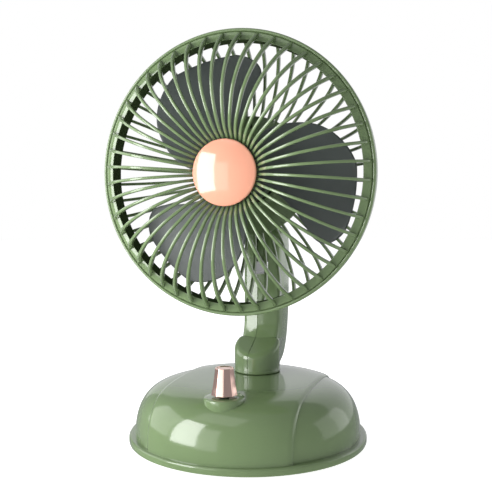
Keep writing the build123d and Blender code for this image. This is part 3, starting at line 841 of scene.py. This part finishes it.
class FAN_OT_cap(bpy.types.Operator):
    """Model the domed cap and its clip stem"""
    bl_idname = "desk_fan.cap"
    bl_label = "Cap"

    def execute(self, context):
        ball = (CAP_R ** 2 + CAP_RISE ** 2) / (2 * CAP_RISE)
        centre = CAP_EDGE + CAP_RISE - ball
        line = []
        for i in range(33):
            r = (CAP_R - 0.7) * sin(pi / 2 * i / 32)
            line.append((r, centre + sqrt(ball ** 2 - r ** 2)))
        line += [(CAP_R - 0.35, CAP_EDGE - 0.02), (CAP_R - 0.1, CAP_EDGE - 0.3), (CAP_R, CAP_EDGE - 0.7),
                 (CAP_R - 0.05, CAP_EDGE - 1.3), (CAP_R - 0.5, CAP_EDGE - 1.6),
                 (CAP_R - 1.2, CAP_EDGE - 1.6),
                 (CAP_R - 1.6, CAP_EDGE - 1.1), (CAP_R - 1.8, CAP_EDGE + 0.4), (9.2, CAP_EDGE + 0.6),
                 (8.6, CAP_EDGE), (8.6, 13.4), (8.3, 13.0), (7.3, 13.0), (7.0, 13.4),
                 (7.0, CAP_EDGE + 0.6), (0, CAP_EDGE + 0.6)]
        form = turned(line, 160, closed=False)
        form.transform(HEAD)
        finish_piece(form, "hub_cap", "cap_copper", "head", ["grille_cap"], sharp=40)
        return {"FINISHED"}


# ---- blades ---------------------------------------------------------------------------------
# Outline of a petal: distance from the shaft, then the angles of its rear and front edges.
PETAL = ((13.0, -26.0, 57.0), (24.5, -28.0, 53.0), (37.5, -32.0, 46.2), (49.0, -37.0, 37.8),
         (60.0, -40.8, 29.2), (66.5, -40.9, 22.4), (71.0, -39.0, 16.0), (74.0, -35.8, 10.8),
         (75.8, -32.0, 6.6), (76.8, -27.5, 3.8))
PETALS = 3
PETAL_ROWS = 40
PETAL_COLUMNS = 26
BLADE_R = 77
BLADE_MID = -5.0
BLADE_LEAD = 17.5             # rise of a blade for each radian of turn
HUB_R = 16.0
HUB_FRONT = 6.4


def petal(thickness, camber):
    """One twisted blade with a rounded rim."""
    form = bmesh.new()
    bmesh.ops.create_grid(form, x_segments=PETAL_COLUMNS, y_segments=PETAL_ROWS, size=0.5)
    edge = smooth_line(PETAL, PETAL_ROWS + 1)
    for v in form.verts:
        across = v.co.x + 0.5
        radius, low, high = edge[round((v.co.y + 0.5) * PETAL_ROWS)]
        angle = radians(low + (high - low) * across)
        hollow = camber * (1 - (2 * across - 1) ** 2) * (radius / BLADE_R)
        height = BLADE_MID + BLADE_LEAD * angle - hollow - thickness / 2
        v.co = Vector((radius * cos(angle), radius * sin(angle), height))
    bmesh.ops.recalc_face_normals(form, faces=form.faces)
    bmesh.ops.solidify(form, geom=form.faces[:], thickness=thickness)
    bmesh.ops.recalc_face_normals(form, faces=form.faces)
    return soften(form, thickness * 0.4, 3, lambda e: is_crease(e, radians(60)), clamp=False)


class FAN_OT_blades(bpy.types.Operator):
    """Model the three petals and their hub"""
    bl_idname = "desk_fan.blades"
    bl_label = "Blades"

    def execute(self, context):
        sizes = context.scene.fan_sizes
        hub = [(1.5, HUB_FRONT - 2.2), (1.5, HUB_FRONT), (6.0, HUB_FRONT, 0.5), (8.0, HUB_FRONT - 0.8, 0.5),
               (HUB_R - 2.0, HUB_FRONT - 0.8, 1.0), (HUB_R, HUB_FRONT - 2.6, 1.5), (HUB_R, -18.0, 0.5),
               (HUB_R - 2.0, -18.0, 0.3), (HUB_R - 2.0, HUB_FRONT - 4.0, 1.0), (4.0, HUB_FRONT - 4.0, 0.6),
               (4.0, -12.0, 0.4), (1.5, -12.0)]
        form = turned(rounded(hub, 0.0), 96)
        for i in range(PETALS):
            put(form, petal(sizes.blade_thickness / MM, sizes.blade_camber / MM),
                Matrix.Rotation(2 * pi * i / PETALS, 4, "Z"))
        form.transform(HEAD)
        finish_piece(form, "fan_blades", "blade_charcoal", "rotor", ["fan_blade"], sharp=40)
        return {"FINISHED"}


# ---- neck -----------------------------------------------------------------------------------
NECK_HALF = 13.2
NECK_EDGE = 2.5               # rounding of the column's long edges
NECK_FRONT = 29.5
NECK_TOP_R = 15.5
COLLAR_R = 15.9
COLLAR_LOW = 41.7
CHIN_AT = (25.5, 64.4)        # where the collar's top changes slope, as (y, z)
CHIN_SLOPE = 0.477
CHIN_BACK_SLOPE = 0.109
CHIN_ROUND = 3.2
COLLAR_TOP = 60.0             # height at which the collar is turned, before its top is tilted
COLLAR_LIP = 0.35
FORK_HALF = 5.2
FORK_FLOOR = 109.0
FORK_OPEN = 160.0             # height, above the column, to which the fork's slot is cut
SEAM_X = -2.2
NECK_SCREWS = ((50.0, 74.0), (36.0, 96.0), (54.0, 100.0))
CROWN_R = 60.0                # the column's front is gently rounded in plan right of the seam
FACET_SLOPE = 0.19            # and falls back evenly left of it
CROWN_CUTS = 9
CROWN_PITCH = 1.7
BOLT_HOLE_R = 3.05

# Turns an outline drawn in XY into the YZ plane, and its height towards +X.
SIDEWAYS = Matrix(((0, 0, 1, 0), (1, 0, 0, 0), (0, 1, 0, 0), (0, 0, 0, 1)))


def neck_outline():
    """Side view of the column as (y, z) points."""
    back = TILT_AT.y + NECK_TOP_R
    chin = [(NECK_FRONT, 81), (28.9, 73), (26.6, 66.8), (23.0, 61.6), (20, 59.4)]
    spine = [(33, 44), (45, 49.6), (53, 60), (57.6, 74), (back, 96)]
    line = [(NECK_FRONT, TILT_AT.z - 16 * i) for i in range(3)]
    line += [tuple(p) for p in smooth_line(chin, 16)]
    line += [(20, 52), (20, 44), (26, 43.6), (33, 44)]
    line += [tuple(p) for p in smooth_line(spine, 22)][1:]
    line += [(back, 104), (back, 112), (back, 120)]
    for i in range(32):
        a = pi * i / 32
        line.append((TILT_AT.y + NECK_TOP_R * cos(a), TILT_AT.z + NECK_TOP_R * sin(a)))
    return [p[:2] for p in line]


def neck_block():
    """Column, collar, fork and pockets in one block."""
    column = slab(neck_outline(), -NECK_HALF, NECK_HALF)
    soften(column, NECK_EDGE, 5, lambda e: is_crease(e, radians(70)) and
           abs(abs(e.verts[0].co.z) - NECK_HALF) < LEVEL and run(e, 2) < LEVEL)
    column.transform(SIDEWAYS)
    crown_front(column)
    block = combine(column, neck_collar(), "UNION")

    tools = bmesh.new()
    slot = rounded([(-FORK_HALF, FORK_FLOOR), (FORK_HALF, FORK_FLOOR),
                    (FORK_HALF, FORK_OPEN), (-FORK_HALF, FORK_OPEN)], 1.0, 3)
    put(tools, slab(slot, 10, 80), Matrix.Rotation(pi / 2, 4, "X") @ Matrix.Scale(-1, 4, (0, 0, 1)))
    bmesh.ops.recalc_face_normals(tools, faces=tools.faces)
    block = combine(block, tools, "DIFFERENCE")

    tools = bmesh.new()
    pivot = Matrix.Translation(TILT_AT) @ Matrix.Rotation(pi / 2, 4, "Y")
    put(tools, rod(BOLT_HOLE_R, -20, 20), pivot)
    pocket = [(0, 9.0), (6.2, 9.0), (6.2, NECK_HALF - 0.5), (6.9, NECK_HALF + 0.2), (6.9, 20), (0, 20)]
    for side in (-1, 1):
        put(tools, turned(pocket, 64, closed=False), pivot @ Matrix.Scale(side, 4, (0, 0, 1)))
    well = [(0, NECK_HALF - 2.05), (2.8, NECK_HALF - 2.05), (2.8, NECK_HALF - 0.4),
            (3.2, NECK_HALF + 0.1), (3.2, 20), (0, 20)]
    for y, z in NECK_SCREWS:
        put(tools, turned(well, 40, closed=False),
            Matrix.Translation((0, y, z)) @ Matrix.Rotation(-pi / 2, 4, "Y"))
    bmesh.ops.recalc_face_normals(tools, faces=tools.faces)
    return combine(block, tools, "DIFFERENCE")


def chin_height(y):
    """Height of the collar's top, steep in front and nearly level behind."""
    at, height = CHIN_AT
    return height + (y - at) * (CHIN_SLOPE if y < at else CHIN_BACK_SLOPE)


def neck_collar():
    """Round collar with a foot lip, a sloping top and a softly rounded chin."""
    lip = COLLAR_R + COLLAR_LIP
    profile = rounded([(0, COLLAR_LOW), (lip, COLLAR_LOW, 0.5), (lip, COLLAR_LOW + 1.6, 0.4),
                       (COLLAR_R, COLLAR_LOW + 1.75, 0.2), (COLLAR_R, COLLAR_TOP, CHIN_ROUND),
                       (0, COLLAR_TOP)], 0.0, 8)
    crown = [(1.5 * i, COLLAR_TOP) for i in range(8, -1, -1)]
    collar = turned(profile[:-1] + crown, 144, closed=False)
    collar.transform(Matrix.Translation((0, SWIVEL_AT.y, 0)))
    foot = COLLAR_LOW + 1.8
    for v in collar.verts:
        share = min(1.0, max(0.0, (v.co.z - foot) / (COLLAR_TOP - CHIN_ROUND - foot)))
        v.co.z += (chin_height(v.co.y) - COLLAR_TOP) * share
    bmesh.ops.recalc_face_normals(collar, faces=collar.faces)
    return collar


def crown_front(column):
    """Shape the front in plan, fading to the back: an even slope left of the seam, a crown right of it."""
    for i in range(CROWN_CUTS):
        bmesh.ops.bisect_plane(column, geom=everything(column), dist=MERGE,
                               plane_co=(SEAM_X + i * CROWN_PITCH, 0, 0), plane_no=(1, 0, 0))
    back = TILT_AT.y + NECK_TOP_R
    for v in column.verts:
        across = v.co.x - SEAM_X
        drop = -across * FACET_SLOPE if across < 0 else CROWN_R - sqrt(CROWN_R ** 2 - across ** 2)
        share = min(1.0, max(0.0, (back - v.co.y) / (back - NECK_FRONT)))
        v.co.y += drop * share


def neck_half(block, side, groove):
    """The part of the block on one side of the seam, with its seam edge softened."""
    form = block.copy()
    cut = bmesh.ops.bisect_plane(form, geom=everything(form), dist=MERGE, plane_co=(SEAM_X, 0, 0),
                                 plane_no=(-side, 0, 0), clear_outer=True)
    rim = [g for g in cut["geom_cut"] if isinstance(g, bmesh.types.BMEdge)]
    bmesh.ops.edgeloop_fill(form, edges=rim)
    bmesh.ops.recalc_face_normals(form, faces=form.faces)
    return soften(form, groove, 1, lambda e: all(abs(v.co.x - SEAM_X) < LEVEL for v in e.verts),
                  clamp=False)


class FAN_OT_neck(bpy.types.Operator):
    """Model the two shells of the neck, with collar, fork and screw wells"""
    bl_idname = "desk_fan.neck"
    bl_label = "Neck"

    def execute(self, context):
        groove = context.scene.fan_sizes.seam / MM
        block = neck_block()
        for side, name in ((-1, "left"), (1, "right")):
            finish_piece(neck_half(block, side, groove), "neck_" + name, "shell_green", "neck",
                         ["neck_shell_" + name], sharp=34)
        block.free()
        return {"FINISHED"}


# ---- housing --------------------------------------------------------------------------------
HOUSING = ((0, -37.0), (36.0, -37.0, 0.4), (36.0, -39.5, 0.9), (29.5, -43.0, 1.6), (28.0, -50.0, 2.0),
           (28.0, -74.0, 2.5), (25.5, -80.0, 2.5), (20.0, -83.2, 2.0), (0, -84.0))
LUG_HALF = 4.4
LUG_R = 10.5
LUG_ROOT = 9                  # half height of the lug where it leaves the cup
LUG_HOLE_R = 3.06
CUP_INSIDE = ((0, -30), (26.2, -30), (25.8, -74), (22, -80), (0, -81.6))
CUP_SCREWS = (90, 210, 330)   # degrees from +X of the flange's three screw wells
CUP_SCREW_AT = 33
CUP_WELL_R = 2.8


def sorted_arc(points, start):
    """Points of an arc in the order that begins nearest to a start point."""
    near = (Vector(points[0]) - Vector(start)).length <= (Vector(points[-1]) - Vector(start)).length
    return points if near else points[::-1]


class FAN_OT_housing(bpy.types.Operator):
    """Model the motor housing with its tilt lug"""
    bl_idname = "desk_fan.housing"
    bl_label = "Motor housing"

    def execute(self, context):
        cup = rounded(HOUSING[1:-1], 0.5, 4)
        cup = turned([HOUSING[0]] + [tuple(p) for p in cup] + [HOUSING[-1]], 144, closed=False)
        drop = RING_AT.z - TILT_AT.z
        back = RING_AT.y - TILT_AT.y
        root = [(-20, back + LUG_ROOT), (-20, back - LUG_ROOT)]
        turns = [radians(-120 + 240 * i / 24) for i in range(25)]
        tip = [(-drop - LUG_R * cos(a), back + LUG_R * sin(a)) for a in turns]
        arm = slab(root + sorted_arc(tip, root[1]), -LUG_HALF, LUG_HALF)
        soften(arm, 0.8, 3, lambda e: is_crease(e, radians(70)) and run(e, 2) < LEVEL)
        arm.transform(SIDEWAYS)
        form = combine(cup, arm, "UNION")
        tools = bmesh.new()
        put(tools, rod(LUG_HOLE_R, -20, 20),
            Matrix.Translation((0, -drop, back)) @ Matrix.Rotation(pi / 2, 4, "Y"))
        put(tools, turned(CUP_INSIDE, 96, closed=False))
        for angle in CUP_SCREWS:
            put(tools, rod(CUP_WELL_R, -60, -39.5, 32),
                Matrix.Rotation(radians(angle), 4, "Z") @ Matrix.Translation((CUP_SCREW_AT, 0, 0)))
        bmesh.ops.recalc_face_normals(tools, faces=tools.faces)
        form = combine(form, tools, "DIFFERENCE")
        form.transform(HEAD)
        finish_piece(form, "housing_shell", "shell_green", "head", ["motor_housing"],
                     sharp=34)
        return {"FINISHED"}


# ---- panel and registration -----------------------------------------------------------------
class FAN_PT_panel(bpy.types.Panel):
    """Sizes, colours and steps of the desk fan"""
    bl_idname = "FAN_PT_panel"
    bl_label = "Desk fan"
    bl_space_type = "VIEW_3D"
    bl_region_type = "UI"
    bl_category = "Desk fan"

    def draw(self, context):
        for group in (context.scene.fan_sizes, context.scene.fan_colours, context.scene.fan_studio):
            column = self.layout.column(align=True)
            for key in group.__annotations__:
                column.prop(group, key)
        for step in STEPS:
            self.layout.operator(step.bl_idname)


GROUPS = (FanColours, FanSizes, FanStudio)
STEPS = (FAN_OT_stage, FAN_OT_finishes, FAN_OT_base, FAN_OT_knob, FAN_OT_neck, FAN_OT_housing,
         FAN_OT_rear_guard, FAN_OT_blades, FAN_OT_front_guard, FAN_OT_cap)


def register():
    for cls in GROUPS + STEPS + (FAN_PT_panel,):
        bpy.utils.register_class(cls)
    bpy.types.Scene.fan_colours = bpy.props.PointerProperty(type=FanColours)
    bpy.types.Scene.fan_sizes = bpy.props.PointerProperty(type=FanSizes)
    bpy.types.Scene.fan_studio = bpy.props.PointerProperty(type=FanStudio)


def unregister():
    del bpy.types.Scene.fan_studio, bpy.types.Scene.fan_sizes, bpy.types.Scene.fan_colours
    for cls in reversed(GROUPS + STEPS + (FAN_PT_panel,)):
        bpy.utils.unregister_class(cls)


def main():
    register()
    for step in STEPS:
        group, action = step.bl_idname.split(".")
        getattr(getattr(bpy.ops, group), action)()


if __name__ == "__main__":
    main()
